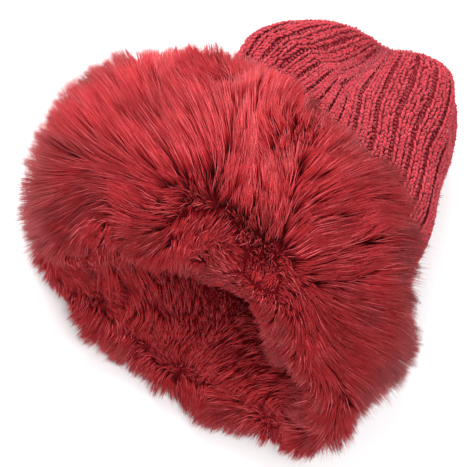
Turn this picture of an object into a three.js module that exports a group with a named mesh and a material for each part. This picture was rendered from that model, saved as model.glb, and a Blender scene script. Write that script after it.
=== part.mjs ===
// Slouchy rib-knit beanie with a deep fur cuff, lying on its back.
// Millimetres, +Z up. The mouth faces -Y, the crown +Y, and the hat rests on z = 0.
import * as THREE from "three";

// Knitted bag
const bagWidth = 204; // across the bag under the cuff
const bagHeight = 114; // the bag's highest point above the table
const tubeLength = 222; // rim to shoulder
const capDepth = 65; // shoulder to the end of the crown
const upperLipBack = 38; // the middle of the upper lip lies this far behind the mouth's corners
const lowerLipAhead = 12; // and the middle of the lower lip this far ahead of them
const squareness = 2.4; // of a section: 2 is an ellipse, more is boxier
const capBluntness = 0.79; // under 1 flattens the end of the crown
const gatherAcross = 13; // where the crown is gathered, right of the middle
const gatherHeight = 63; // and above the table
const gatherDent = 14; // how deep the gather is drawn in
const dentStart = 1.57; // from here on, where 1 is the shoulder and 2 the gather
const creaseFull = 1.45; // and from here on the creases have their full depth
const endSlant = 0.3; // how much further the crown reaches on its right, per mm across
const knitWall = 5.5; // rib knit, ridge to inside
const ribCount = 28;
const furrowDepth = 3.2;
const furrowShare = 0.42; // of a rib's pitch
const ribPull = 0.76; // how far the ribs on the left are pulled over to the top, in radians at most
const ribPullAngle = 92; // in degrees round the bag: ribs past it are pulled towards it
const ribsStraight = 0.4; // the pull starts here, where 1 is the shoulder and 2 the gather
const ribsPulled = 1.15; // and is full here
const widestAt = 0.46; // where a section is widest, as a share of its height

// Fur cuff and fur lining
const cuffLength = 154; // from the rim along the outside of the bag, on its left
const cuffSlant = 58; // the cuff is this much shorter on its right
const furDepth = 48; // pelt to the roots of the locks, on the left
const furDepthRight = 21; // and on the right, which is pressed flatter
const mouthFur = 16; // the same ahead of the rim, on the left
const mouthFurRight = 10; // and on the right
const foldIn = 10; // the cuff turns this far in round the rim
const foldDepth = 5; // and its fur is this deep there
const liningLength = 72; // from the rim along the inside of the bag
const liningDepth = 8;
const lockHeight = 12; // root to tip, outside
const liningLockHeight = 4.5;
const lockLean = 0.75; // sideways reach of a tip, as a share of its height
const leanTurns = 0.25; // share of the cuff's outline before the lean turns from crown to mouth
const lockSpread = 0.3; // how much locks differ in height, up and down
const lockSwing = 0.18; // how far a tip strays sideways, as a share of the lock's width
const flattenedBelow = 22; // under this height the hat's weight lays the locks flat
const layerGap = 1.3; // between the bag and the fur on it
const seamGap = 1.2; // between the cuff's edge and the lining's

// How finely the surfaces are faceted
const girthSteps = 2000;
const locksAround = 56;
const cuffLockRows = 16;
const liningLockRows = 5;
const liningHiddenRows = 3;
const coveredRows = 4; // of the bag under the cuff, and of the cuff's pelt side
const openRows = 6; // from the cuff to the shoulder
const capRows = 10;
const insideRows = 7; // rim to shoulder
const insideCapRows = 5;

// The bag's sections from rim to shoulder: along is a share of tubeLength, width of half bagWidth,
// shift of half bagWidth, and top and bottom are shares of bagHeight above the table.
const bagSections = [
  { along: 0.0, width: 1.04, shift: 0.14, top: 0.93, bottom: 0.17 },
  { along: 0.25, width: 1.05, shift: 0.1, top: 0.98, bottom: 0.17 },
  { along: 0.5, width: 1.05, shift: 0.1, top: 1.0, bottom: 0.15 },
  { along: 0.75, width: 0.94, shift: 0.195, top: 0.95, bottom: 0.04 },
  { along: 1.0, width: 0.9, shift: 0.086, top: 0.94, bottom: -0.03 },
];

// Creases that run from the gather down the bag and part the crown into four lobes: angle round the bag
// from its right side and half width in degrees, depth as a share of the radius, and reach as a share of
// tubeLength below the shoulder.
const creases = [
  { angle: 97, halfWidth: 23, depth: 0.55, reach: 0.3 },
  { angle: 187, halfWidth: 16, depth: 0.12, reach: 0.05 },
  { angle: 275, halfWidth: 16, depth: 0.2, reach: 0.05 },
  { angle: 20, halfWidth: 16, depth: 0.22, reach: 0.05 },
];

// Outline of the cuff's fur from the crown side round the rim: along is a share of cuffLength where
// positive and of mouthFur where negative, and depth is a share of furDepth out from the bag.
const cuffOutline = [
  { along: 1.0, depth: 0.0 },
  { along: 1.06, depth: 0.33 },
  { along: 1.02, depth: 0.67 },
  { along: 0.9, depth: 0.93 },
  { along: 0.7, depth: 1.07 },
  { along: 0.45, depth: 1.08 },
  { along: 0.22, depth: 0.84 },
  { along: 0.04, depth: 0.55 },
  { along: -0.6, depth: 0.36 },
  { along: -1.0, depth: 0.1 },
  { along: -0.95, depth: -0.17 },
  { along: -0.4, depth: -0.34 },
];

// Outline of the lining from the cuff's turned edge inwards: along is a share of the lining's own
// length, and depth a share of liningDepth in from the bag.
const liningOutline = [
  { along: 0.0, depth: 0.0 },
  { along: 0.03, depth: 1.0 },
  { along: 0.45, depth: 1.0 },
  { along: 0.9, depth: 0.8 },
  { along: 1.0, depth: 0.0 },
];

const { sin, cos, abs, sign, max, min, floor, exp, PI } = Math;
const mix = THREE.MathUtils.lerp;
const ease = THREE.MathUtils.smoothstep;

// A number from 0 to 1 that is always the same for the same pair.
function scatter(a, b) {
  const wave = sin(a * 127.1 + b * 311.7) * 43758.5453;
  return wave - floor(wave);
}

// The value of a column of a table at a share along it, on a smooth curve through its rows.
function columnAt(table, key, share) {
  const last = table.length - 1;
  let row = 0;
  while (row < last - 1 && share > table[row + 1].along) row += 1;
  const value = (k) => table[min(max(k, 0), last)][key];
  const step = (share - table[row].along) / (table[row + 1].along - table[row].along);
  const t = min(max(step, 0), 1);
  const slopeIn = (value(row + 1) - value(row - 1)) / 2;
  const slopeOut = (value(row + 2) - value(row)) / 2;
  const rise = value(row + 1) - value(row);
  const bow = slopeIn + slopeOut - 2 * rise;
  return value(row) + t * (slopeIn + t * (rise - slopeIn - bow + t * bow));
}

const rounded = (wave) => sign(wave) * abs(wave) ** (2 / squareness);

// How far the creases draw in the bag's surface, as a share of its radius.
function creaseAt(angle, travel) {
  const degrees = THREE.MathUtils.radToDeg(angle);
  let drawn = 0;
  for (const crease of creases) {
    const apart = THREE.MathUtils.euclideanModulo(degrees - crease.angle + 180, 360) - 180;
    const grown = ease(travel, 1 - crease.reach, creaseFull);
    drawn += crease.depth * grown * exp(-((apart / crease.halfWidth) ** 2));
  }
  return drawn;
}

// A point on the bag or on a layer of it. travel is 0 at the rim, 1 at the shoulder and 2 at the gather,
// and offset is how far the layer lies outside the bag's ridges.
function bagPoint(angle, travel, offset) {
  const share = min(travel, 1);
  const turn = (max(travel - 1, 0) * PI) / 2;
  const up = sin(angle);
  const top = columnAt(bagSections, "top", share) * bagHeight;
  const bottom = columnAt(bagSections, "bottom", share) * bagHeight;
  const middle = mix(bottom, top, widestAt);
  const halfWidth = (columnAt(bagSections, "width", share) * bagWidth) / 2 + offset;
  const halfHeight = (up > 0 ? top - middle : middle - bottom) + offset;
  const inwards = ease(turn, 0, PI / 2);
  const centreX = mix((columnAt(bagSections, "shift", share) * bagWidth) / 2, gatherAcross, inwards);
  const centreZ = mix(middle, gatherHeight, inwards);
  const spread = max(cos(turn), 0) ** capBluntness * (1 - creaseAt(angle, travel));
  const x = centreX + halfWidth * rounded(cos(angle)) * spread;
  const z = centreZ + halfHeight * rounded(up) * spread;
  const lip = (up > 0 ? upperLipBack * up ** 2 : lowerLipAhead * up) * (1 - share);
  const reach = (capDepth + offset) * sin(turn) - gatherDent * ease(travel, dentStart, 2);
  const y = lip + share * tubeLength + reach + endSlant * (x - gatherAcross) * sin(turn);
  return new THREE.Vector3(x, y, z);
}

// Lengths round the bag halfway along it, from its right side, at equal steps of angle.
const girthLengths = [0];
for (let k = 1; k <= girthSteps; k += 1) {
  const from = bagPoint(((k - 1) / girthSteps) * 2 * PI, 0.5, 0);
  const to = bagPoint((k / girthSteps) * 2 * PI, 0.5, 0);
  girthLengths.push(girthLengths[k - 1] + from.distanceTo(to));
}

// The angle at a share of the way round the bag's girth, so that ribs and locks are evenly spaced.
function angleAtGirth(share) {
  const turns = floor(share);
  const wanted = (share - turns) * girthLengths[girthSteps];
  let low = 0;
  let high = girthSteps;
  while (high - low > 1) {
    const half = floor((low + high) / 2);
    if (girthLengths[half] <= wanted) low = half;
    else high = half;
  }
  const part = (wanted - girthLengths[low]) / (girthLengths[high] - girthLengths[low]);
  return (turns + (low + part) / girthSteps) * 2 * PI;
}

// The angle of a rib on its way to the crown: those on the left of the bag are pulled over to its top.
function ribAngle(share, travel) {
  const angle = angleAtGirth(share);
  const pulled = ribPull * ease(travel, ribsStraight, ribsPulled);
  return angle - pulled * max(sin(angle - THREE.MathUtils.degToRad(ribPullAngle)), 0);
}

// How far along the bag the cuff reaches, as a share of tubeLength.
function cuffShare(angle) {
  return (cuffLength - cuffSlant * ((1 + cos(angle)) / 2) ** 2) / tubeLength;
}

// Lying cloth is flat where it would pass through the table.
function laid(point, least) {
  point.z = max(point.z, least);
  return point;
}

function geometryOf(points, triangles) {
  const geometry = new THREE.BufferGeometry();
  const numbers = points.flatMap((point) => point.toArray());
  geometry.setAttribute("position", new THREE.Float32BufferAttribute(numbers, 3));
  geometry.setIndex(triangles);
  geometry.computeVertexNormals();
  return geometry;
}

// A closed skin over rings of points, closed at both ends by a pole.
function skinOverRings(firstPole, rings, lastPole) {
  const around = rings[0].length;
  const points = [firstPole, ...rings.flat(), lastPole];
  const last = points.length - 1;
  const at = (ring, k) => 1 + ring * around + (k % around);
  const triangles = [];
  for (let k = 0; k < around; k += 1) {
    triangles.push(0, at(0, k + 1), at(0, k));
    for (let ring = 0; ring < rings.length - 1; ring += 1) {
      triangles.push(at(ring, k), at(ring + 1, k + 1), at(ring + 1, k));
      triangles.push(at(ring, k), at(ring, k + 1), at(ring + 1, k + 1));
    }
    triangles.push(last, at(rings.length - 1, k), at(rings.length - 1, k + 1));
  }
  return geometryOf(points, triangles);
}

// The knitted bag: ridges and furrows outside, smooth inside, one wall from the gather to the rim.
function knitBag() {
  const onRib = [0, furrowShare / 2, 1 - furrowShare / 2];
  const ring = (angleOf, travelAt, offsetAt, least) => {
    const points = [];
    for (let rib = 0; rib < ribCount; rib += 1) {
      for (const part of onRib) {
        const share = (rib + part) / ribCount;
        const travel = travelAt(angleAtGirth(share));
        points.push(laid(bagPoint(angleOf(share, travel), travel, offsetAt(part, travel)), least));
      }
    }
    return points;
  };
  const narrowing = (travel) => (travel > 1 ? cos(((travel - 1) * PI) / 2) ** capBluntness : 1);
  const ribbed = (part, travel) => (part === 0 ? -furrowDepth * narrowing(travel) : 0);
  const outer = (travelAt) => ring(ribAngle, travelAt, ribbed, 0);
  const inner = (travelAt) => ring(angleAtGirth, travelAt, () => -knitWall, knitWall);
  const rings = [];
  for (let k = capRows - 1; k > 0; k -= 1) rings.push(outer(() => 1 + k / capRows));
  for (let k = openRows; k > 0; k -= 1) {
    rings.push(outer((angle) => mix(cuffShare(angle), 1, k / openRows)));
  }
  for (let k = coveredRows; k >= 0; k -= 1) {
    rings.push(outer((angle) => (cuffShare(angle) * k) / coveredRows));
  }
  for (let k = 0; k < insideRows; k += 1) rings.push(inner(() => k / insideRows));
  for (let k = 0; k < insideCapRows; k += 1) rings.push(inner(() => 1 + k / insideCapRows));
  return skinOverRings(bagPoint(0, 2, 0), rings, bagPoint(0, 2, -knitWall));
}

// A point of a fur band, at a share of the way round. A slanted band is shorter on its right, and fur
// outside the bag or ahead of its rim is shallower there.
function furPoint(around, along, offset, slanted) {
  const angle = angleAtGirth(around);
  const stretch = slanted && along > 0 ? (cuffShare(angle) * tubeLength) / cuffLength : 1;
  const leftness = (1 - cos(angle)) / 2;
  const depth = mix(furDepthRight / furDepth, 1, leftness);
  const out = offset > layerGap ? layerGap + (offset - layerGap) * depth : offset;
  const ahead = along < 0 ? mix(mouthFurRight / mouthFur, 1, leftness) : 1;
  return laid(bagPoint(angle, (along * stretch * ahead) / tubeLength, out), 0);
}

// The tip of the lock that stands on a row at a share of the way round.
function lockTip(row, around, luck, slanted) {
  const root = furPoint(around, row.along, row.offset, slanted);
  const pressed = ease(root.z, 0, flattenedBelow);
  const height = row.height * (1 + lockSpread * (2 * luck - 1)) * pressed;
  const along = row.along + height * (row.normalAlong + row.lean * row.normalOffset);
  const offset = row.offset + height * (row.normalOffset - row.lean * row.normalAlong);
  const strayed = around + (lockSwing * (2 * scatter(luck, row.along) - 1)) / locksAround;
  return furPoint(strayed, along, row.offset > layerGap ? max(offset, 2 * layerGap) : offset, slanted);
}

// A closed band of fur round the bag, in staggered rows of diamond-shaped locks, each drawn out to a tip.
// A row of no height, such as those on the pelt side, is plain.
function furBand(rows, slanted) {
  const points = [];
  const place = (j, i) => (i + (j % 2) / 2) / locksAround;
  rows.forEach((row, j) => {
    for (let i = 0; i < locksAround; i += 1) {
      points.push(furPoint(place(j, i), row.along, row.offset, slanted));
    }
  });
  const at = (j, i) => ((j + rows.length) % rows.length) * locksAround + (i % locksAround);
  const triangles = [];
  rows.forEach((row, j) => {
    for (let i = 0; i < locksAround; i += 1) {
      const left = at(j, i);
      const right = at(j, i + 1);
      const next = at(j + 1, i + (j % 2));
      const before = at(j - 1, i + (j % 2));
      if (row.height === 0) {
        triangles.push(left, right, next, left, before, right);
      } else {
        const tip = points.length;
        points.push(lockTip(row, place(j, i + 0.5), scatter(i, j), slanted));
        triangles.push(left, tip, next, tip, right, next, before, tip, left, before, right, tip);
      }
    }
  });
  return geometryOf(points, triangles);
}

// A count of rows, one more if need be, that makes an even number with the others: locks are staggered.
const evenWith = (count, others) => count + ((count + others) % 2);

// Rows at equal steps along an outline of [along, offset] points, with the outline's outward normal.
function rowsAlong(outline, count, height, leanAt) {
  const corners = outline.map(([along, offset]) => new THREE.Vector3(along, offset, 0));
  const curve = new THREE.CatmullRomCurve3(corners, false, "centripetal");
  const rows = [];
  for (let k = 0; k < count; k += 1) {
    const share = k / (count - 1);
    const point = curve.getPointAt(share);
    const way = curve.getTangentAt(share);
    const edge = k === 0 || k === count - 1;
    rows.push({
      along: point.x,
      offset: point.y,
      normalAlong: way.y,
      normalOffset: -way.x,
      height: edge ? 0 : min(height, point.y < -knitWall ? liningLockHeight : height),
      lean: leanAt(share),
    });
  }
  return rows;
}

const plainRow = (along, offset) => ({ along, offset, height: 0 });

// The cuff: fur outside and round the rim, turned in to foldIn, over the bag's wall.
function furCuff() {
  const outline = cuffOutline.map((row) => [
    row.along * (row.along < 0 ? mouthFur : cuffLength),
    row.depth * furDepth + layerGap,
  ]);
  const inner = -knitWall - layerGap;
  outline.push([foldIn, inner - foldDepth]);
  outline.push([foldIn, inner]);
  const lean = (share) => mix(lockLean, -lockLean, ease(share, leanTurns, 1 - leanTurns));
  const rows = rowsAlong(outline, evenWith(cuffLockRows, coveredRows + 1), lockHeight, lean);
  rows.push(plainRow(-layerGap, inner));
  rows.push(plainRow(-layerGap, layerGap));
  for (let k = 1; k < coveredRows; k += 1) rows.push(plainRow((cuffLength * k) / coveredRows, layerGap));
  return furBand(rows, true);
}

// The lining: a band of shorter fur inside the mouth, from the cuff's turned edge inwards.
function furLining() {
  const start = foldIn + seamGap;
  const inner = -knitWall - layerGap;
  const outline = liningOutline.map((row) => [
    mix(start, liningLength, row.along),
    inner - row.depth * liningDepth,
  ]);
  const lockRows = evenWith(liningLockRows, liningHiddenRows);
  const rows = rowsAlong(outline, lockRows, liningLockHeight, () => -lockLean);
  for (let k = liningHiddenRows; k > 0; k -= 1) {
    rows.push(plainRow(mix(start, liningLength, k / (liningHiddenRows + 1)), inner));
  }
  return furBand(rows, false);
}

function piece(name, geometry, color, roughness) {
  const material = new THREE.MeshStandardMaterial({ color, roughness, metalness: 0, flatShading: true });
  const mesh = new THREE.Mesh(geometry, material);
  mesh.name = name;
  return mesh;
}

const hat = new THREE.Group();
hat.add(piece("knit_bag", knitBag(), 0xb03348, 0.95));
hat.add(piece("fur_cuff", furCuff(), 0xb3242f, 0.9));
hat.add(piece("fur_lining", furLining(), 0x8c1a24, 0.9));

// The origin is under the middle of the hat, on the table.
const size = new THREE.Box3().setFromObject(hat);
hat.position.set(-(size.min.x + size.max.x) / 2, -(size.min.y + size.max.y) / 2, -size.min.z);

export default hat;
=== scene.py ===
import math

import bmesh
import bpy
import numpy as np
from mathutils import Matrix, Vector, kdtree


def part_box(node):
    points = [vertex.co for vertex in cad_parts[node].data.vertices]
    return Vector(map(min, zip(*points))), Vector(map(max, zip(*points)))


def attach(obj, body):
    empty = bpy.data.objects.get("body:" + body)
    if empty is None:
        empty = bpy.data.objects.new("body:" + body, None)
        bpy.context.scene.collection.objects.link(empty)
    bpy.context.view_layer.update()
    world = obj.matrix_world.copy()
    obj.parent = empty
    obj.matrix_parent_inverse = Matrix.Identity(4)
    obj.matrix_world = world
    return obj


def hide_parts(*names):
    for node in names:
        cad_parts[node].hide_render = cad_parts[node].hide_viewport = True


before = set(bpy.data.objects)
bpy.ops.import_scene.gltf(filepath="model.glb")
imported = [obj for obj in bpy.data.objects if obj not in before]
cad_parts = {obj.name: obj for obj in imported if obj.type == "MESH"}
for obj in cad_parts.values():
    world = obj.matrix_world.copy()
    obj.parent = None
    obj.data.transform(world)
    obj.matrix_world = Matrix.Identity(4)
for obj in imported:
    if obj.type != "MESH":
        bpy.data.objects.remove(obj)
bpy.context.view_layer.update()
print("frame loaded")

mm = 0.001

# The hat's own form, in mm, with the sizes of the part.
hatForm = {
    "bagWidth": 204,
    "bagHeight": 114,
    "tubeLength": 222,
    "capDepth": 65,
    "upperLipBack": 38,
    "lowerLipAhead": 12,
    "squareness": 2.4,
    "capBluntness": 0.79,
    "gatherAcross": 13,
    "gatherHeight": 63,
    "gatherDent": 14,
    "dentStart": 1.57,
    "creaseFull": 1.45,
    "endSlant": 0.3,
    "widestAt": 0.46,
    "knitWall": 5.5,
    "ribCount": 28,
    "furrowDepth": 3.2,
    "ribPull": 0.76,
    "ribPullAngle": 92,
    "ribsStraight": 0.4,
    "ribsPulled": 1.15,
}
# along, width, shift, top, bottom
bagSections = np.array([
    (0.0, 1.04, 0.14, 0.93, 0.17),
    (0.25, 1.05, 0.1, 0.98, 0.17),
    (0.5, 1.05, 0.1, 1.0, 0.15),
    (0.75, 0.94, 0.195, 0.95, 0.04),
    (1.0, 0.9, 0.086, 0.94, -0.03),
])
# angle, half width, depth, reach
creases = [
    (97, 23, 0.55, 0.3),
    (187, 16, 0.12, 0.05),
    (275, 16, 0.2, 0.05),
    (20, 16, 0.22, 0.05),
]
cuffForm = {
    "cuffLength": 154,
    "cuffSlant": 58,
    "furDepth": 48,
    "furDepthRight": 21,
    "mouthFur": 16,
    "mouthFurRight": 10,
    "foldIn": 10,
    "foldDepth": 5,
    "liningLength": 72,
    "liningDepth": 8,
    "layerGap": 1.3,
    "seamGap": 1.2,
}
# along, depth
cuffOutline = [
    (1.0, 0.0), (1.06, 0.33), (1.02, 0.67), (0.9, 0.93), (0.7, 1.07), (0.45, 1.08),
    (0.22, 0.84), (0.04, 0.55), (-0.6, 0.36), (-1.0, 0.1), (-0.95, -0.17), (-0.4, -0.34),
]
liningOutline = [(0.0, 0.0), (0.03, 1.0), (0.45, 1.0), (0.9, 0.8), (1.0, 0.0)]


def mix(a, b, share):
    return a + (b - a) * share


def ease(value, start, end):
    t = np.clip((value - start) / (end - start), 0, 1)
    return t * t * (3 - 2 * t)


def hump(value, middle, width):
    return np.exp(-(((value - middle) / width) ** 2))


# A column of the bag's table at a share along it, on a smooth curve through its rows.
def sectionAt(column, share):
    last = len(bagSections) - 1
    row = np.clip(np.searchsorted(bagSections[1:last, 0], share), 0, last - 1)
    value = lambda k: bagSections[np.clip(k, 0, last), column]
    step = bagSections[row + 1, 0] - bagSections[row, 0]
    t = np.clip((share - bagSections[row, 0]) / step, 0, 1)
    slopeIn = (value(row + 1) - value(row - 1)) / 2
    slopeOut = (value(row + 2) - value(row)) / 2
    rise = value(row + 1) - value(row)
    bow = slopeIn + slopeOut - 2 * rise
    return value(row) + t * (slopeIn + t * (rise - slopeIn - bow + t * bow))


def creaseAt(angle, travel):
    drawn = np.zeros(np.broadcast(angle, travel).shape)
    for at, halfWidth, depth, reach in creases:
        grown = ease(travel, 1 - reach, hatForm["creaseFull"])
        apart = (np.degrees(angle) - at + 180) % 360 - 180
        drawn = drawn + depth * grown * hump(apart, 0, halfWidth)
    return drawn


def rounded(wave):
    return np.sign(wave) * np.abs(wave) ** (2 / hatForm["squareness"])


# A point of the bag or of a layer of it, in mm: travel is 0 at the rim, 1 at the shoulder, 2 at the gather.
def bagPoint(angle, travel, offset):
    f = hatForm
    angle, travel, offset = np.broadcast_arrays(angle, np.asarray(travel, float), offset)
    share = np.minimum(travel, 1)
    turn = np.maximum(travel - 1, 0) * math.pi / 2
    up = np.sin(angle)
    top = sectionAt(3, share) * f["bagHeight"]
    bottom = sectionAt(4, share) * f["bagHeight"]
    middle = mix(bottom, top, f["widestAt"])
    halfWidth = sectionAt(1, share) * f["bagWidth"] / 2 + offset
    halfHeight = np.where(up > 0, top - middle, middle - bottom) + offset
    inwards = ease(turn, 0, math.pi / 2)
    centreX = mix(sectionAt(2, share) * f["bagWidth"] / 2, f["gatherAcross"], inwards)
    centreZ = mix(middle, f["gatherHeight"], inwards)
    spread = np.maximum(np.cos(turn), 0) ** f["capBluntness"] * (1 - creaseAt(angle, travel))
    x = centreX + halfWidth * rounded(np.cos(angle)) * spread
    z = centreZ + halfHeight * rounded(up) * spread
    lip = np.where(up > 0, f["upperLipBack"] * up**2, f["lowerLipAhead"] * up) * (1 - share)
    reach = (f["capDepth"] + offset) * np.sin(turn) - f["gatherDent"] * ease(travel, f["dentStart"], 2)
    y = lip + share * f["tubeLength"] + reach + f["endSlant"] * (x - f["gatherAcross"]) * np.sin(turn)
    return np.stack([x, y, z], -1)


# How far along a line of points each one lies.
def lengthsAlong(points):
    return np.concatenate([[0], np.cumsum(np.linalg.norm(np.diff(points, axis=0), axis=1))])


girthAngles = np.linspace(0, 2 * math.pi, 2001)
girthLengths = lengthsAlong(bagPoint(girthAngles, 0.5, 0))
girthShares = girthLengths / girthLengths[-1]


def angleAtGirth(share):
    turns = np.floor(share)
    return turns * 2 * math.pi + np.interp(share - turns, girthShares, girthAngles)


# The part stands with the middle of its box at the origin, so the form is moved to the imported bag's corner.
outside = bagPoint(*np.meshgrid(angleAtGirth(np.linspace(0, 1, 337)), np.linspace(0, 2, 121)), 0)
formShift = np.array(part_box("knit_bag")[0]) - outside.reshape(-1, 3).min(0) * mm
formShift[2] = 0


def cuffShare(angle):
    reach = cuffForm["cuffLength"] - cuffForm["cuffSlant"] * ((1 + np.cos(angle)) / 2) ** 2
    return reach / hatForm["tubeLength"]


# The ribs on the left of the bag are pulled over to its top on their way to the crown.
def ribAngle(share, travel):
    f = hatForm
    angle = angleAtGirth(share)
    pulled = f["ribPull"] * ease(travel, f["ribsStraight"], f["ribsPulled"])
    return angle - pulled * np.maximum(np.sin(angle - math.radians(f["ribPullAngle"])), 0)


def ribPoint(share, travel, offset=0):
    return bagPoint(ribAngle(share, travel), travel, offset)


# Metres, on the row's frame, and not under the table.
def placed(points, least=0.0):
    out = points * mm + formShift
    out[..., 2] = np.maximum(out[..., 2], least * mm)
    return out


def furPoint(around, along, offset, slanted):
    c = cuffForm
    angle = angleAtGirth(around)
    length = cuffShare(angle) * hatForm["tubeLength"] / c["cuffLength"]
    stretch = np.where((along > 0) & slanted, length, 1)
    leftness = (1 - np.cos(angle)) / 2
    depth = mix(c["furDepthRight"] / c["furDepth"], 1, leftness)
    gap = c["layerGap"]
    out = np.where(offset > gap, gap + (offset - gap) * depth, offset)
    ahead = mix(c["mouthFurRight"] / c["mouthFur"], 1, leftness)
    return bagPoint(angle, along * stretch * np.where(along < 0, ahead, 1) / hatForm["tubeLength"], out)


def unit(vectors):
    return vectors / np.maximum(np.linalg.norm(vectors, axis=-1, keepdims=True), 1e-12)


# A grid whose points are laid on the hat by place(u, v), closed where its edges meet. Its UV map is the
# flat cloth: u runs round the hat and v along it.
def laidGrid(name, columns, rows, place):
    bm = bmesh.new()
    bmesh.ops.create_grid(bm, x_segments=columns, y_segments=rows, size=0.5)
    bm.verts.ensure_lookup_table()
    uv = np.array([vert.co[:2] for vert in bm.verts]) + 0.5
    layer = bm.loops.layers.uv.new("cloth")
    for face in bm.faces:
        for loop in face.loops:
            loop[layer].uv = uv[loop.vert.index]
    for vert, spot in zip(bm.verts, place(uv[:, 0], uv[:, 1])):
        vert.co = spot
    bmesh.ops.remove_doubles(bm, verts=bm.verts, dist=2e-6)
    bmesh.ops.recalc_face_normals(bm, faces=bm.faces)
    return finishMesh(name, bm)


def finishMesh(name, bm):
    mesh = bpy.data.meshes.new(name)
    bm.to_mesh(mesh)
    bm.free()
    mesh.shade_smooth()
    piece = bpy.data.objects.new(name, mesh)
    bpy.context.collection.objects.link(piece)
    return piece


# Many closed fibres as one mesh: each runs through its points, pointed at both ends and round between.
# Its first texture number is its own tint and its second how far along it a point lies.
def fibreMesh(name, paths, radii, sides, tints, facing=None):
    count, steps = paths.shape[:2]
    along = unit(np.gradient(paths, axis=1))[:, 1:-1]
    anyWay = np.array([0.31, 0.52, 0.8])
    facing = anyWay if facing is None else facing[:, None, :]
    across = unit(np.cross(along, facing))
    upwards = np.cross(across, along)
    turn = np.arange(sides) * 2 * math.pi / sides
    ring = across[:, :, None] * np.cos(turn)[:, None] + upwards[:, :, None] * np.sin(turn)[:, None]
    rings = paths[:, 1:-1, None] + ring * radii[:, :, None, None]
    verts = np.concatenate([paths[:, :1], rings.reshape(count, -1, 3), paths[:, -1:]], 1)
    each = verts.shape[1]
    faces = []
    for s in range(sides):
        nextSide = (s + 1) % sides
        faces.append((0, 1 + nextSide, 1 + s))
        for r in range(steps - 3):
            low, high = 1 + r * sides, 1 + (r + 1) * sides
            faces.append((low + s, low + nextSide, high + nextSide))
            faces.append((low + s, high + nextSide, high + s))
        end = 1 + (steps - 3) * sides
        faces.append((end + s, end + nextSide, each - 1))
    faces = (np.array(faces)[None] + (np.arange(count) * each)[:, None, None]).reshape(-1, 3)
    mesh = bpy.data.meshes.new(name)
    mesh.from_pydata(verts.reshape(-1, 3), [], faces)
    share = np.linspace(0, 1, steps)
    shares = np.concatenate([[0], np.repeat(share[1:-1], sides), [1]])
    uv = np.stack([np.repeat(tints, each), np.tile(shares, count)], -1)
    layer = mesh.uv_layers.new(name="fibre")
    layer.data.foreach_set("uv", uv[faces.ravel()].astype(np.float32).ravel())
    mesh.shade_smooth()
    piece = bpy.data.objects.new(name, mesh)
    bpy.context.collection.objects.link(piece)
    print(name, len(faces), "triangles")
    return piece


# Smooth wandering vectors over space, each component between about -1 and 1.
def drift(points, wavelength, seed):
    rng = np.random.default_rng(seed)
    waves = unit(rng.normal(size=(3, 5, 3))) * 2 * math.pi / (wavelength * rng.uniform(0.7, 1.6, (3, 5, 1)))
    phases = rng.uniform(0, 2 * math.pi, (3, 5))
    return np.stack([np.sin(points @ waves[k].T + phases[k]).mean(-1) * 1.6 for k in range(3)], -1)


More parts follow.
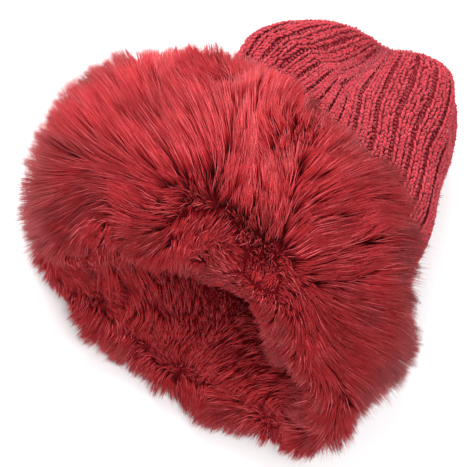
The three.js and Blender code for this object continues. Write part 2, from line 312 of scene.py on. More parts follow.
# A tint and a bump for anything made of fibres: dark roots, paler tips, each fibre its own shade.
def makeFibreTint():
    group = bpy.data.node_groups.new("fibreTint", "ShaderNodeTree")
    for label, kind, value in (
        ("Root Color", "NodeSocketColor", (0.1, 0.01, 0.01, 1)),
        ("Body Color", "NodeSocketColor", (0.4, 0.03, 0.04, 1)),
        ("Tip Color", "NodeSocketColor", (0.6, 0.1, 0.1, 1)),
        ("Guard Color", "NodeSocketColor", (0.7, 0.2, 0.2, 1)),
        ("Root Length", "NodeSocketFloat", 0.4),
        ("Tip Length", "NodeSocketFloat", 0.3),
        ("Fibre Contrast", "NodeSocketFloat", 0.3),
        ("Patch Contrast", "NodeSocketFloat", 0.2),
        ("Patch Size", "NodeSocketFloat", 20.0),
    ):
        socket = group.interface.new_socket(name=label, in_out="INPUT", socket_type=kind)
        socket.default_value = value
    group.interface.new_socket(name="Color", in_out="OUTPUT", socket_type="NodeSocketColor")
    group.interface.new_socket(name="Height", in_out="OUTPUT", socket_type="NodeSocketFloat")
    nodes, links = group.nodes, group.links
    given = nodes.new("NodeGroupInput")
    result = nodes.new("NodeGroupOutput")
    uv = nodes.new("ShaderNodeUVMap")
    uv.uv_map = "fibre"
    parts = nodes.new("ShaderNodeSeparateXYZ")
    links.new(uv.outputs["UV"], parts.inputs[0])

    fromRoot = nodes.new("ShaderNodeMapRange")
    fromRoot.interpolation_type = "SMOOTHSTEP"
    links.new(parts.outputs["Y"], fromRoot.inputs["Value"])
    links.new(given.outputs["Root Length"], fromRoot.inputs["From Max"])
    toTip = nodes.new("ShaderNodeMapRange")
    toTip.interpolation_type = "SMOOTHSTEP"
    tipStart = nodes.new("ShaderNodeMath")
    tipStart.operation = "SUBTRACT"
    tipStart.inputs[0].default_value = 1
    links.new(given.outputs["Tip Length"], tipStart.inputs[1])
    links.new(parts.outputs["Y"], toTip.inputs["Value"])
    links.new(tipStart.outputs[0], toTip.inputs["From Min"])
    body = nodes.new("ShaderNodeMix")
    body.data_type = "RGBA"
    links.new(fromRoot.outputs["Result"], body.inputs["Factor"])
    links.new(given.outputs["Root Color"], body.inputs["A"])
    links.new(given.outputs["Body Color"], body.inputs["B"])
    tip = nodes.new("ShaderNodeMix")
    tip.data_type = "RGBA"
    links.new(toTip.outputs["Result"], tip.inputs["Factor"])
    links.new(body.outputs["Result"], tip.inputs["A"])
    links.new(given.outputs["Tip Color"], tip.inputs["B"])

    coords = nodes.new("ShaderNodeTexCoord")
    patches = nodes.new("ShaderNodeTexNoise")
    patches.inputs["Detail"].default_value = 2
    links.new(coords.outputs["Object"], patches.inputs["Vector"])
    links.new(given.outputs["Patch Size"], patches.inputs["Scale"])
    brightness = []
    for source, contrast in (
        (parts.outputs["X"], "Fibre Contrast"),
        (patches.outputs["Fac"], "Patch Contrast"),
    ):
        centred = nodes.new("ShaderNodeMath")
        centred.operation = "SUBTRACT"
        links.new(source, centred.inputs[0])
        centred.inputs[1].default_value = 0.5
        scaled = nodes.new("ShaderNodeMath")
        scaled.operation = "MULTIPLY_ADD"
        links.new(centred.outputs[0], scaled.inputs[0])
        links.new(given.outputs[contrast], scaled.inputs[1])
        scaled.inputs[2].default_value = 1
        brightness.append(scaled)
    both = nodes.new("ShaderNodeMath")
    both.operation = "MULTIPLY"
    links.new(brightness[0].outputs[0], both.inputs[0])
    links.new(brightness[1].outputs[0], both.inputs[1])
    shade = nodes.new("ShaderNodeHueSaturation")
    links.new(tip.outputs["Result"], shade.inputs["Color"])
    links.new(both.outputs[0], shade.inputs["Value"])
    guarded = nodes.new("ShaderNodeMapRange")  # the longest hairs lie at the far side of the UV; on the fur their paler colour is a painted highlight
    guarded.inputs["From Min"].default_value = 0.9
    guarded.inputs["From Max"].default_value = 0.93
    links.new(parts.outputs["X"], guarded.inputs["Value"])
    reached = nodes.new("ShaderNodeMath")
    reached.operation = "MULTIPLY"
    links.new(guarded.outputs["Result"], reached.inputs[0])
    links.new(fromRoot.outputs["Result"], reached.inputs[1])
    guard = nodes.new("ShaderNodeMix")
    guard.data_type = "RGBA"
    links.new(reached.outputs[0], guard.inputs["Factor"])
    links.new(shade.outputs["Color"], guard.inputs["A"])
    links.new(given.outputs["Guard Color"], guard.inputs["B"])
    links.new(guard.outputs["Result"], result.inputs["Color"])

    ridges = nodes.new("ShaderNodeTexNoise")
    ridges.inputs["Scale"].default_value = 900
    links.new(coords.outputs["Object"], ridges.inputs["Vector"])
    links.new(ridges.outputs["Fac"], result.inputs["Height"])
    return group


fibreTint = makeFibreTint()


def fibreMaterial(name, look):
    material = bpy.data.materials.new(name)
    material.use_nodes = True
    nodes, links = material.node_tree.nodes, material.node_tree.links
    shader = nodes["Principled BSDF"]
    shader.inputs["Roughness"].default_value = look["roughness"]
    shader.inputs["Specular IOR Level"].default_value = look["specular"]
    shader.inputs["Sheen Weight"].default_value = look["sheen"]
    shader.inputs["Sheen Roughness"].default_value = 0.5
    shader.inputs["Sheen Tint"].default_value = (*look["sheenTint"], 1)
    tint = nodes.new("ShaderNodeGroup")
    tint.node_tree = fibreTint
    for label, key in (
        ("Root Color", "root"), ("Body Color", "body"), ("Tip Color", "tip"), ("Guard Color", "guard"),
    ):
        tint.inputs[label].default_value = (*look[key], 1)
    for label, key in (
        ("Root Length", "rootLength"), ("Tip Length", "tipLength"), ("Fibre Contrast", "fibreContrast"),
        ("Patch Contrast", "patchContrast"), ("Patch Size", "patchSize"),
    ):
        tint.inputs[label].default_value = look[key]
    links.new(tint.outputs["Color"], shader.inputs["Base Color"])
    bump = nodes.new("ShaderNodeBump")
    bump.inputs["Strength"].default_value = look["bump"]
    bump.inputs["Distance"].default_value = 0.0004
    links.new(tint.outputs["Height"], bump.inputs["Height"])
    links.new(bump.outputs["Normal"], shader.inputs["Normal"])
    return material


furLook = {
    "root": (0.11, 0.003, 0.005),
    "body": (0.35, 0.008, 0.013),
    # The paler tips stand in for light glowing through the hair's ends: painted glow.
    "tip": (0.56, 0.03, 0.039),
    # The guard hairs' paler colour is a painted highlight.
    "guard": (0.68, 0.085, 0.1),
    "rootLength": 0.5,
    "tipLength": 0.35,
    "fibreContrast": 0.6,
    "patchContrast": 0.5,
    "patchSize": 38.0,
    "roughness": 0.5,
    "specular": 0.3,
    "sheen": 0.06,
    "sheenTint": (1.0, 0.45, 0.45),
    "bump": 0.1,
}
# The lining is the cuff's own fur, painted lighter with paler root, body and tip and a shorter dark root:
# painted light that lifts the shade inside the mouth.
liningPaintedLightLook = {
    **furLook,
    "root": (0.32, 0.01, 0.016),
    "body": (0.46, 0.016, 0.022),
    "tip": (0.56, 0.04, 0.048),
    "rootLength": 0.3,
}
yarnLook = {
    # darker where the yarn dips into the knit: painted shade between the stitches
    "root": (0.3, 0.018, 0.028),
    "body": (0.47, 0.036, 0.052),
    "tip": (0.42, 0.03, 0.044),
    "guard": (0.52, 0.055, 0.075),
    "rootLength": 0.5,
    "tipLength": 0.3,
    "fibreContrast": 0.35,
    "patchContrast": 0.3,
    "patchSize": 40.0,
    "roughness": 0.8,
    "specular": 0.2,
    "sheen": 0.25,
    "sheenTint": (1.0, 0.45, 0.5),
    "bump": 0.6,
}
fuzzLook = {
    **yarnLook,
    "root": (0.36, 0.025, 0.04),
    "body": (0.52, 0.06, 0.085),
    "tip": (0.66, 0.12, 0.15),
    "guard": (0.72, 0.2, 0.23),
}
backingLook = {
    **furLook,
    "root": (0.2, 0.006, 0.01),
    "body": (0.2, 0.006, 0.01),
    "tip": (0.2, 0.006, 0.01),
    "sheen": 0.0,
    "specular": 0.05,
    "roughness": 0.95,
    "bump": 1.0,
}
# The knit's ground sheet is painted dark: painted shade in the furrows and between the stitches.
furrowPaintedShadeLook = {
    **backingLook,
    "root": (0.2, 0.011, 0.019),
    "body": (0.2, 0.011, 0.019),
    "tip": (0.2, 0.011, 0.019),
}
materials = {
    "fur": fibreMaterial("plushFur", furLook),
    # the lining's lighter colours are painted light inside the mouth
    "lining": fibreMaterial("liningFur", liningPaintedLightLook),
    "yarn": fibreMaterial("ribYarn", yarnLook),
    "fuzz": fibreMaterial("yarnFuzz", fuzzLook),
    "backing": fibreMaterial("furBacking", backingLook),
    # the knit ground's dark colour is painted shade
    "furrow": fibreMaterial("knitGroundPaintedShade", furrowPaintedShadeLook),
}


def fitted(piece, material, node):
    piece.data.materials.append(materials[material])
    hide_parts(node)
    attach(piece, "root")
    return piece


# Knitted bag
knit = {
    "courseHeight": 3.3,
    "walesPerRib": 2,
    "gapShare": 0.26,  # of a rib's width, for the furrow
    "groundSunk": 1.6,  # how far the smooth sheet lies under the stitches
    "groundFurrow": 0.8,  # of the furrow's depth
    "hiddenStart": 14,  # how far the stitches start under the cuff
    "lastCourse": 1.985,
    "smallestWale": 2.4,  # narrower wales are merged two by two
    "mergedWale": 1.6,
    "legThickness": 1.3,
    "legShare": 0.33,  # thickness at most, of the wale's width
    "legSpread": (0.05, 0.4),
    "legReach": (-0.25, 1.55),
    "legRise": (-1.9, 1.7),
    "ribCrown": (0.3, 0.5),  # rise of a rib's middle, and its fall to the sides
    "loopThickness": 0.8,  # of a leg's
    "loopShare": 0.16,
    "loopSpread": 0.42,
    "loopReach": 0.28,
    "loopBow": 0.5,
    "plumpness": (0.85, 1.15),
    "swayJitter": 0.06,
    "stitchJitter": 0.25,
    "loopJitter": 0.2,
    "riseJitter": 0.15,
    "leastGround": 0.4,  # the least heights over the table
    "leastStitch": 1.7,
    "leastLoop": 1.2,
    "seed": 5,
}


# How deep in a furrow a share of the girth lies: 1 in its middle, 0 on the ribs.
def furrowAt(share):
    apart = (share * hatForm["ribCount"] + 0.5) % 1 - 0.5
    return np.exp(-(apart / knit["gapShare"] * 2) ** 2)


def makeKnitGround():
    outerShare = 0.8
    ribs = hatForm["ribCount"]

    def place(u, v):
        outer = v <= outerShare
        travel = np.where(outer, 2 * (1 - v / outerShare), 2 * (v - outerShare) / (1 - outerShare))
        angle = np.where(outer, ribAngle(u, travel), angleAtGirth(u))
        turn = np.maximum(travel - 1, 0) * math.pi / 2
        narrowing = np.maximum(np.cos(turn), 0) ** hatForm["capBluntness"]
        furrowed = hatForm["furrowDepth"] * knit["groundFurrow"] * furrowAt(u)
        ribbed = -(knit["groundSunk"] + furrowed) * narrowing
        points = bagPoint(angle, travel, np.where(outer, ribbed, -hatForm["knitWall"]))
        return placed(points, np.where(outer, knit["leastGround"], hatForm["knitWall"]))

    ground = laidGrid("knit_ground", ribs * 6, 120, place)
    # The ground's dark material is painted shade under the stitches and in the furrows.
    return fitted(ground, "furrow", "knit_bag")


# Where the stitches of one wale lie: their places, the ways across, ahead and out, and the wale's width.
# They start a little way under the cuff.
def coursesAlong(share, width, phase):
    start = cuffShare(angleAtGirth(share)) - knit["hiddenStart"] / hatForm["tubeLength"]
    travels = np.linspace(start, knit["lastCourse"], 500)
    lengths = lengthsAlong(ribPoint(share, travels))
    stops = np.arange(phase * knit["courseHeight"], lengths[-1], knit["courseHeight"])
    travel = np.interp(stops, lengths, travels)
    step = 0.002
    gather = 1.995
    spot = ribPoint(share, travel)
    ahead = unit(ribPoint(share, np.minimum(travel + step, gather)) - ribPoint(share, travel - step))
    beside = ribPoint(share + step, travel) - ribPoint(share - step, travel)
    across = unit(beside - (beside * ahead).sum(-1, keepdims=True) * ahead)
    out = np.cross(ahead, across)
    out *= np.sign((out * (ribPoint(share, travel, 1) - spot)).sum(-1, keepdims=True))
    wale = np.linalg.norm(beside, axis=-1) / (2 * step) * width
    return spot, across, ahead, out, wale


# One path at each spot, through points that lie so far across, ahead and out of it.
def pathsAt(spot, across, ahead, out, sideways, forwards, rise):
    return (
        spot[:, None]
        + across[:, None] * sideways[..., None]
        + ahead[:, None] * forwards[..., None]
        + out[:, None] * rise[..., None]
    )


# Each stitch is two plump legs that spread like a V.
def makeStitches():
    rng = np.random.default_rng(knit["seed"])
    ribs = hatForm["ribCount"]
    waleShare = (1 - knit["gapShare"]) / knit["walesPerRib"] / ribs
    shares = np.linspace(0, 1, 5)
    closeIn, spread = knit["legSpread"]
    first, reach = knit["legReach"]
    base, bow = knit["legRise"]
    crown, fall = knit["ribCrown"]
    paths, radii, facing, tints = [], [], [], []
    for rib in range(ribs):
        for wale in range(knit["walesPerRib"]):
            side = wale - (knit["walesPerRib"] - 1) / 2
            share = (rib + 0.5) / ribs + side * waleShare
            spot, across, ahead, out, width = coursesAlong(share, waleShare, 0.5 * (rib % 2))
            keep = (width > knit["smallestWale"]) | ((rib + wale) % 2 == 0)
            spot, across, ahead, out, width = (part[keep] for part in (spot, across, ahead, out, width))
            merged = np.maximum(width * 2, knit["mergedWale"])
            width = np.where(width > knit["smallestWale"], width, merged)
            ribRise = -fall * np.abs(side) + crown
            for leg in (-1, 1):
                count = len(spot)
                sway = rng.normal(0, knit["swayJitter"], (count, 1)) * width[:, None]
                sideways = leg * width[:, None] * (closeIn + spread * shares**0.8) + sway
                forwards = knit["courseHeight"] * (first + reach * shares)
                forwards = forwards + rng.normal(0, knit["stitchJitter"], (count, 1))
                rise = base + bow * np.sin(math.pi * (0.12 + 0.8 * shares)) + ribRise
                rise = rise + rng.normal(0, knit["riseJitter"], (count, 1))
                paths.append(pathsAt(spot, across, ahead, out, sideways, forwards, rise))
                plump = np.minimum(knit["legThickness"], width * knit["legShare"])[:, None]
                plump = plump * rng.uniform(*knit["plumpness"], (count, 1))
                radii.append(plump * np.array([0.75, 1.0, 0.7]))
                facing.append(out)
                tints.append(rng.random(count))
    paths = placed(np.concatenate(paths), knit["leastStitch"])
    piece = fibreMesh(
        "knit_stitches", paths, np.concatenate(radii) * mm, 4, np.concatenate(tints),
        facing=np.concatenate(facing),
    )
    return fitted(piece, "yarn", "knit_bag")


# The purl loops that cross each furrow between two ribs.
def makeFurrowLoops():
    rng = np.random.default_rng(knit["seed"] + 1)
    ribs = hatForm["ribCount"]
    shares = np.linspace(-1, 1, 5)
    paths, radii, facing, tints = [], [], [], []
    for rib in range(ribs):
        spot, across, ahead, out, width = coursesAlong(rib / ribs, knit["gapShare"] / ribs, 0.25)
        keep = width > knit["smallestWale"]
        spot, across, ahead, out, width = (part[keep] for part in (spot, across, ahead, out, width))
        count = len(spot)
        sideways = width[:, None] * knit["loopSpread"] * shares
        forwards = knit["courseHeight"] * knit["loopReach"] * np.abs(shares)
        forwards = forwards + rng.normal(0, knit["loopJitter"], (count, 1))
        bow = knit["loopBow"]
        rise = -hatForm["furrowDepth"] * knit["groundFurrow"] + bow - bow * shares**2
        rise = rise + rng.normal(0, knit["riseJitter"], (count, 1))
        paths.append(pathsAt(spot, across, ahead, out, sideways, forwards, rise))
        thickest = knit["legThickness"] * knit["loopThickness"]
        plump = np.minimum(thickest, width * knit["loopShare"])[:, None]
        radii.append(plump * np.array([0.8, 1.0, 0.8]))
        facing.append(out)
        tints.append(rng.random(count) * 0.6)
    paths = placed(np.concatenate(paths), knit["leastLoop"])
    piece = fibreMesh(
        "furrow_loops", paths, np.concatenate(radii) * mm, 4, np.concatenate(tints),
        facing=np.concatenate(facing),
    )
    return fitted(piece, "yarn", "knit_bag")


# Loose fibres that stand off the yarn.
fuzz = {
    "count": 15000,
    "length": (3.0, 7.5),
    "thickness": 0.26,
    "thicknesses": (0.7, 1.2),
    "lift": (0.15, 0.7),
    "middle": (0.35, 0.45),  # of the length, along the knit and out of it
    "tip": (0.7, 0.55),
    "bend": 0.4,
    "rootDepth": 0.3,
    "furrowDrop": 2.2,
    "lastTravel": 1.93,
    "least": 0.3,
    "seed": 8,
}


# Three points along a curve that leaves its root towards the middle and ends at the tip.
def bentPaths(root, middle, tip):
    t = np.array([0, 0.5, 1])[None, :, None]
    return root[:, None] * (1 - t) ** 2 + middle[:, None] * 2 * t * (1 - t) + tip[:, None] * t**2


def makeFuzz():
    rng = np.random.default_rng(fuzz["seed"])
    count = fuzz["count"]
    share = rng.random(count)
    travel = mix(cuffShare(angleAtGirth(share)), fuzz["lastTravel"], rng.random(count))
    angle = ribAngle(share, travel)
    root = bagPoint(angle, travel, -fuzz["rootDepth"] - fuzz["furrowDrop"] * furrowAt(share))
    out = unit(bagPoint(angle, travel, 4) - bagPoint(angle, travel, -1))
    ahead = unit(bagPoint(angle, travel + 0.01, 0) - bagPoint(angle, travel - 0.01, 0))
    across = np.cross(out, ahead)
    way = rng.uniform(0, 2 * math.pi, (count, 1))
    flat = ahead * np.cos(way) + across * np.sin(way)
    length = rng.uniform(*fuzz["length"], (count, 1))
    lift = rng.uniform(*fuzz["lift"], (count, 1))
    alongKnit, outOfIt = fuzz["middle"]
    middle = root + length * (alongKnit * flat + outOfIt * lift * out)
    alongKnit, outOfIt = fuzz["tip"]
    bent = unit(flat + rng.normal(0, fuzz["bend"], (count, 3)))
    tip = root + length * (bent * alongKnit + outOfIt * lift * out)
    paths = bentPaths(root, middle, tip)
    radii = fuzz["thickness"] * rng.uniform(*fuzz["thicknesses"], (count, 1))
    piece = fibreMesh("knit_fuzz", placed(paths, fuzz["least"]), radii * mm, 3, rng.random(count))
    return fitted(piece, "fuzz", "knit_bag")


# A smooth curve through corner points, cut in equal steps, with the way out of the shape.
def smoothOutline(corners, count):
    c = np.array(corners, float)
    ends = np.concatenate([[2 * c[0] - c[1]], c, [2 * c[-1] - c[-2]]])
    t = np.linspace(0, 1, 24, endpoint=False)[:, None]
    spans = []
    for k in range(1, len(ends) - 2):
        a, b, d, e = ends[k - 1], ends[k], ends[k + 1], ends[k + 2]
        straight = 2 * b + (d - a) * t
        spans.append(0.5 * (straight + (2 * a - 5 * b + 4 * d - e) * t**2 + (3 * b - a - 3 * d + e) * t**3))
    fine = np.concatenate(spans + [c[-1:]])
    lengths = lengthsAlong(fine)
    stops = np.linspace(0, lengths[-1], count)
    line = np.stack([np.interp(stops, lengths, fine[:, k]) for k in (0, 1)], -1)
    way = unit(np.gradient(line, axis=0))
    return line, np.stack([way[:, 1], -way[:, 0]], -1)


# The nearest point of the pelt to points of a fur's outline.
def onPelt(line, furthest):
    gap = cuffForm["layerGap"]
    inner = -hatForm["knitWall"] - gap
    ahead = line[:, 0] < 0
    along = np.where(ahead, -gap, np.minimum(line[:, 0], furthest))
    offset = np.where(ahead, np.clip(line[:, 1], inner, gap), np.where(line[:, 1] > 0, gap, inner))
    return np.stack([along, offset], -1)


def cuffCorners():
    c = cuffForm
    inner = -hatForm["knitWall"] - c["layerGap"]
    corners = [
        (along * (c["mouthFur"] if along < 0 else c["cuffLength"]), depth * c["furDepth"] + c["layerGap"])
        for along, depth in cuffOutline
    ]
    return corners + [(c["foldIn"], inner - c["foldDepth"]), (c["foldIn"], inner)]


def liningCorners():
    c = cuffForm
    inner = -hatForm["knitWall"] - c["layerGap"]
    start = c["foldIn"] + c["seamGap"]
    return [
        (mix(start, c["liningLength"], along), inner - depth * c["liningDepth"])
        for along, depth in liningOutline
    ]


# What the strands of both furs share. Each pair of numbers is the least and the most.
strand = {
    "rows": 160,
    "columns": 140,
    "bodyShare": 0.6,  # how far up the strands their room is measured
    "pressedBelow": 2,  # under the hat there are fewer
    "pressedShare": 0.3,
    "heights": (0.75, 1.15),
    "tuftHeights": (0.75, 1.2),
    "drawn": (0.6, 1.0),  # how far a strand follows its tuft
    "guardDrawn": 0.35,  # the long guard hairs follow it less
    "tuftSpread": 0.35,
    "rootDepth": 0.05,
    "straightFoot": 0.85,
    "kink": 0.8,
    "thicknesses": (0.7, 1.25),
    "guardThickness": 0.9,
    "tint": 0.9,
    "guardTint": (0.94, 0.05),  # the tint group shows the guard colour, on the fur a painted highlight, over 0.9
    "least": 0.4,  # the least heights over the table
    "leastUnder": 0.3,
}


# The dense under-fur that the strands stand in, a closed band on the pelt.
def makeUnderFur(name, corners, sunk, slanted):
    columns = 120
    line, _ = smoothOutline(corners, 60)
    pelt = onPelt(line, corners[0][0] if slanted else corners[-1][0])
    loop = np.concatenate([mix(line, pelt, sunk), pelt[::-1]])
    loop = np.concatenate([loop, loop[:1]])

    def place(u, v):
        at = v * (len(loop) - 1)
        along = np.interp(at, np.arange(len(loop)), loop[:, 0])
        offset = np.interp(at, np.arange(len(loop)), loop[:, 1])
        return placed(furPoint(u, along, offset, slanted), strand["leastUnder"])

    return laidGrid(name, columns, len(loop) - 1, place)


# Where the fur's lie changes. Levels run from 1 at the hat's right to -1 at its left, and shares from 0 at
# the fur's far edge to 1 at its turned one.
furZones = {
    "partingLevels": (0, 0.8),
    "partingBlend": 0.03,
    "loweredLevels": (0, 0.5),
    "cornerLevels": (0.75, 0.97),
    "cornerWidth": 0.1,
    "topRimAhead": (-25, 0),
    "leftShortLevels": (0.2, 0.8),
    "leftShortShares": (0.25, 0.45),
    "rimLevels": (0.3, 0.9),
    "rimAt": 0.5,
    "rimWidth": 0.28,
    "sweepTurn": 3,
    "shortShares": (0.62, 0.85),
    "sparseShares": (0.85, 1.0),
}


# Strands that stand on the under-fur and are drawn together in tufts, then in finer wisps.
def growStrands(name, corners, slanted, fur):
    rng = np.random.default_rng(fur["seed"])
    zone = furZones
    rows, columns = strand["rows"], strand["columns"]
    line, normal = smoothOutline(corners, rows)
    pelt = onPelt(line, corners[0][0] if slanted else corners[-1][0])
    way = np.stack([normal[:, 1], -normal[:, 0]], -1)

    gridU, gridRow = np.meshgrid((np.arange(columns) + 0.5) / columns, np.arange(rows), indexing="ij")
    tipLine = line + normal * fur["height"] * strand["bodyShare"]
    body = furPoint(gridU, tipLine[gridRow, 0], tipLine[gridRow, 1], slanted)
    widths = np.linalg.norm(np.roll(body, -1, 0) - body, axis=-1)
    lengths = np.linalg.norm(np.gradient(body, axis=1), axis=-1)
    density = 1 - fur["sparseInside"] * ease(gridRow / (rows - 1), *zone["sparseShares"])
    pressed = np.where(body[..., 2] < strand["pressedBelow"], strand["pressedShare"], 1)
    weights = widths * lengths * density * pressed
    weights = (weights / weights.sum()).ravel()

    def tallness(where):
        return 1 - fur["shortInside"] * ease(where, *zone["shortShares"])

    def seedling(count, luck):
        cell = luck.choice(weights.size, count, p=weights)
        u = (cell // rows + luck.random(count)) / columns
        row = np.clip(cell % rows + luck.random(count) - 0.5, 0, rows - 1.001)
        low = row.astype(int)
        part = (row - low)[:, None]
        at = lambda table: mix(table[low], table[low + 1], part)
        return u, at(line), at(normal), at(pelt), at(way), row / (rows - 1)

    # Leans along the fur's outline and away from the top of the hat, and on the left stands more upright.
    def tipOf(u, here, out, along, where, height):
        level = np.cos(angleAtGirth(u))
        upness = np.sin(angleAtGirth(u))
        lowered = ease(-upness, *zone["loweredLevels"])
        parting = fur["parting"] + fur["partingRight"] * ease(level, *zone["partingLevels"])
        blend = zone["partingBlend"]
        leaning = mix(fur["leanBack"], fur["leanIn"], ease(where, parting - blend, parting + blend))
        leaning = leaning * mix(1, fur["leftLean"], (1 - level) / 2)
        leaning = leaning * np.where(leaning < 0, 1 - fur["lowerTurn"] * lowered, 1)
        corner = ease(level, *zone["cornerLevels"]) * hump(where, fur["cornerAt"], zone["cornerWidth"])
        leaning = leaning * (1 - fur["cornerLift"] * corner)

        height = height * (1 + fur["cornerReach"] * corner)
        rimmed = fur["topRim"] * np.maximum(upness, 0) * ease(-here[:, 0], *zone["topRimAhead"])
        height = height * (1 - rimmed)
        shorter = fur["leftShort"] * ease(-level, *zone["leftShortLevels"])
        height = height * (1 - shorter * (1 - ease(where, *zone["leftShortShares"])))
        rim = hump(where, zone["rimAt"], zone["rimWidth"])
        height = height * (1 + fur["rightRim"] * ease(level, *zone["rimLevels"]) * rim)
        height = height * (1 + fur["leftRim"] * ease(-level, *zone["rimLevels"]) * rim)

        spot = here + out * height[:, None] + along * (leaning * height)[:, None]
        least = cuffForm["layerGap"] * 2
        spot[:, 1] = np.where(here[:, 1] > least, np.maximum(spot[:, 1], least), spot[:, 1])
        sweep = np.where(level > 0, fur["rightSweep"], fur["leftSweep"])
        sideways = -sweep * np.tanh(zone["sweepTurn"] * level) * height
        sideways = sideways * (1 - fur["lowerCalm"] * lowered) * (1 - fur["cornerLift"] * corner)
        return furPoint(u + sideways / fur["girth"], spot[:, 0], spot[:, 1], slanted)

    def tufts(count, stray):
        luck = np.random.default_rng(count)
        u, here, out, _, along, where = seedling(count, luck)
        height = fur["height"] * luck.uniform(*strand["tuftHeights"], count) * tallness(where)
        foot = furPoint(u, here[:, 0], here[:, 1], slanted)
        tip = tipOf(u, here, out, along, where, height)
        tip = tip + luck.normal(0, stray, (count, 3))
        tree = kdtree.KDTree(count)
        for k, spot in enumerate(foot):
            tree.insert(spot, k)
        tree.balance()
        return foot, tip, tree, luck.random(count)

    count = fur["count"]
    u, here, out, under, along, where = seedling(count, rng)
    longer = rng.random(count) < fur["guardShare"]
    height = fur["height"] * rng.uniform(*strand["heights"], count) * np.where(longer, fur["guardLength"], 1)
    height *= tallness(where)
    rootSpot = mix(here, under, fur["sunk"] + strand["rootDepth"])
    root = furPoint(u, rootSpot[:, 0], rootSpot[:, 1], slanted)
    foot = furPoint(u, here[:, 0], here[:, 1], slanted)
    tip = tipOf(u, here, out, along, where, height)
    tip = tip + drift(foot, fur["flowWave"], 3) * fur["flow"] + rng.normal(0, fur["stray"], (count, 3))

    tints = rng.random(count)
    for number, stray, pull, shade in fur["tufts"]:
        feet, tips, tree, tuftTint = tufts(number, stray)
        tips = tips + drift(feet, fur["flowWave"], 3) * fur["flow"]
        nearest = np.array([tree.find(spot)[1] for spot in foot])
        drawn = pull * rng.uniform(*strand["drawn"], count) * np.where(longer, strand["guardDrawn"], 1)
        target = tips[nearest] + (foot - feet[nearest]) * strand["tuftSpread"]
        tip = mix(tip, target, drawn[:, None])
        tints = mix(tints, tuftTint[nearest], shade)
    guardTint, guardRange = strand["guardTint"]
    tints = np.where(longer, guardTint + guardRange * tints, strand["tint"] * tints)

    middle = mix(root, foot, strand["straightFoot"]) + rng.normal(0, strand["kink"], (count, 3))
    paths = bentPaths(root, middle, tip)
    slimness = np.where(longer, strand["guardThickness"], 1)[:, None]
    radii = fur["thickness"] * rng.uniform(*strand["thicknesses"], (count, 1)) * slimness
    return fibreMesh(name, placed(paths, strand["least"]), radii * mm, 3, tints)


cuffFur = {
    "count": 21000,  # in each piece
    "height": 13.0,
    "shortInside": 0.4,  # towards the turned edge, shorter and sparser
    "sparseInside": 0.35,
    "leanBack": 1.35,  # lean on each side of the parting
    "leanIn": -1.1,
    "parting": 0.61,
    "partingRight": 0.11,
    "leftLean": 0.55,
    "leftShort": 0.4,
    "rightRim": 1.0,  # longer hair at the outline on the right, and a little on the left
    "leftRim": 0.12,
    "cornerAt": 0.67,  # the hair that stands out at the mouth's right corner
    "cornerLift": 0.85,
    "cornerReach": 0.55,
    "lowerCalm": 0.8,  # under the mouth the hair turns downwards
    "lowerTurn": 1.7,
    "topRim": 0.5,
    "rightSweep": 1.1,  # away from the hat's top
    "leftSweep": 0.7,
    "girth": 700.0,
    "sunk": 0.42,  # the under-fur's share of the depth that is left open
    "stray": 1.8,
    "flow": 9.0,
    "flowWave": 60.0,
    "guardShare": 0.08,
    "guardLength": 1.45,
    "tufts": ((900, 7.0, 0.6, 0.45), (4200, 2.2, 0.4, 0.3)),  # count, stray, pull, share of the tint
    "thickness": 0.33,
}
# Fur of one length that all leans one way.
evenFur = {
    "shortInside": 0.0,
    "sparseInside": 0.0,
    "parting": 0.5,
    "partingRight": 0.0,
    "leftLean": 1.0,
    "leftShort": 0.0,
    "rightRim": 0.0,
    "leftRim": 0.0,
    "cornerAt": 0.5,
    "cornerLift": 0.0,
    "cornerReach": 0.0,
    "lowerCalm": 0.0,
    "lowerTurn": 0.0,
    "topRim": 0.0,
    "rightSweep": 0.0,
    "leftSweep": 0.0,
}
liningFur = {
    **evenFur,
    "count": 12000,
    "height": 16.0,
    "leanBack": 1.0,
    "leanIn": 1.0,
    "girth": 500.0,
    "sunk": 0.6,
    "stray": 1.6,
    "flow": 3.0,
    "flowWave": 50.0,
    "guardShare": 0.03,
    "guardLength": 1.4,
    "tufts": ((210, 5.0, 0.4, 0.25), (1100, 2.0, 0.35, 0.25)),
    "thickness": 0.34,
    "seed": 31,
}
furPieces = 4


def makeCuff():
    corners = cuffCorners()
    underFur = makeUnderFur("cuff_under_fur", corners, cuffFur["sunk"], True)
    fitted(underFur, "backing", "fur_cuff")
    for k in range(furPieces):
        strands = growStrands(f"cuff_fur_{k + 1}", corners, True, {**cuffFur, "seed": 20 + k})
        fitted(strands, "fur", "fur_cuff")


def makeLining():
    corners = liningCorners()
    underFur = makeUnderFur("lining_under_fur", corners, liningFur["sunk"], False)
    fitted(underFur, "backing", "fur_lining")
    strands = growStrands("lining_fur_strands", corners, False, liningFur)
    fitted(strands, "lining", "fur_lining")


makeKnitGround()
makeStitches()
makeFurrowLoops()
makeFuzz()
print("knitted bag made")
makeCuff()
print("fur cuff made")
makeLining()
print("fur lining made")


# The photo looks down on the mouth and is turned a little, so the camera is rolled.
view = {
    "elevation": 65,
    "roll": 35,
    "distance": 1.4,
    "target": (0.0, -0.04, 0.07),
    "targetPixel": (236, 223),
    "pixelsPerMetre": 1385,
    "photoWidth": 468,
    "photoHeight": 467,
}


def viewAxes():
    e, r = math.radians(view["elevation"]), math.radians(view["roll"])
    back = Vector((0, -math.cos(e), math.sin(e)))
    level = Vector((1, 0, 0))
    upright = back.cross(level)
    right = level * math.cos(r) + upright * math.sin(r)
    up = upright * math.cos(r) - level * math.sin(r)
    return right, up, back


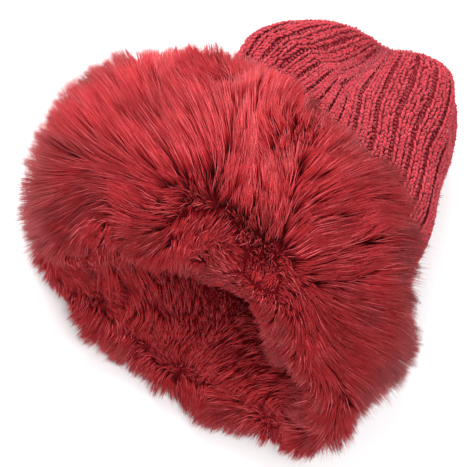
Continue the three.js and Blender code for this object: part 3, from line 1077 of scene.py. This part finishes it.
def makeCamera():
    right, up, back = viewAxes()
    data = bpy.data.cameras.new("camera")
    data.sensor_width = 36
    data.lens = view["pixelsPerMetre"] * view["distance"] / view["photoWidth"] * data.sensor_width
    camera = bpy.data.objects.new("camera", data)
    bpy.context.collection.objects.link(camera)
    aside = (view["photoWidth"] / 2 - view["targetPixel"][0]) / view["pixelsPerMetre"]
    below = (view["targetPixel"][1] - view["photoHeight"] / 2) / view["pixelsPerMetre"]
    centre = Vector(view["target"]) + right * aside + up * below
    turn = Matrix((right, up, back)).transposed().to_4x4()
    camera.matrix_world = Matrix.Translation(centre + back * view["distance"]) @ turn
    bpy.context.scene.camera = camera


studio = {
    "floorColor": (0.94, 0.94, 0.95),
    "floorSize": 6.0,
    "skyColor": (1.0, 1.0, 1.0),
    "skyStrength": 0.75,
    "keyPower": 28.0,
    "keySize": 0.8,
    "keyPlace": (-0.2, 1.3, 0.8),
    "frontPower": 14.0,
    "frontSize": 0.6,
    "frontPlace": (0.2, -0.15, 1.5),
}


def areaLight(name, place, power, size):
    data = bpy.data.lights.new(name, "AREA")
    data.energy = power
    data.size = size
    light = bpy.data.objects.new(name, data)
    bpy.context.collection.objects.link(light)
    light.location = place
    light.rotation_euler = (Vector(place) - Vector(view["target"])).to_track_quat("Z", "Y").to_euler()


def makeStudio():
    right, up, back = viewAxes()
    middle = Vector(view["target"])
    axes = Matrix((right, up, back)).transposed()
    for name in ("key", "front"):
        place = middle + axes @ Vector(studio[f"{name}Place"])
        areaLight(name, place, studio[f"{name}Power"], studio[f"{name}Size"])
    world = bpy.data.worlds.new("studio")
    world.use_nodes = True
    sky = world.node_tree.nodes["Background"]
    sky.inputs["Color"].default_value = (*studio["skyColor"], 1)
    sky.inputs["Strength"].default_value = studio["skyStrength"]
    bpy.context.scene.world = world
    bpy.context.scene.view_settings.view_transform = "Standard"

    bm = bmesh.new()
    bmesh.ops.create_grid(bm, x_segments=1, y_segments=1, size=studio["floorSize"] / 2)
    floor = finishMesh("studio_floor", bm)
    paper = bpy.data.materials.new("paleFloor")
    paper.use_nodes = True
    shader = paper.node_tree.nodes["Principled BSDF"]
    shader.inputs["Base Color"].default_value = (*studio["floorColor"], 1)
    shader.inputs["Roughness"].default_value = 0.9
    shader.inputs["Specular IOR Level"].default_value = 0.1
    floor.data.materials.append(paper)


makeCamera()
makeStudio()
print("camera, lights and floor set")
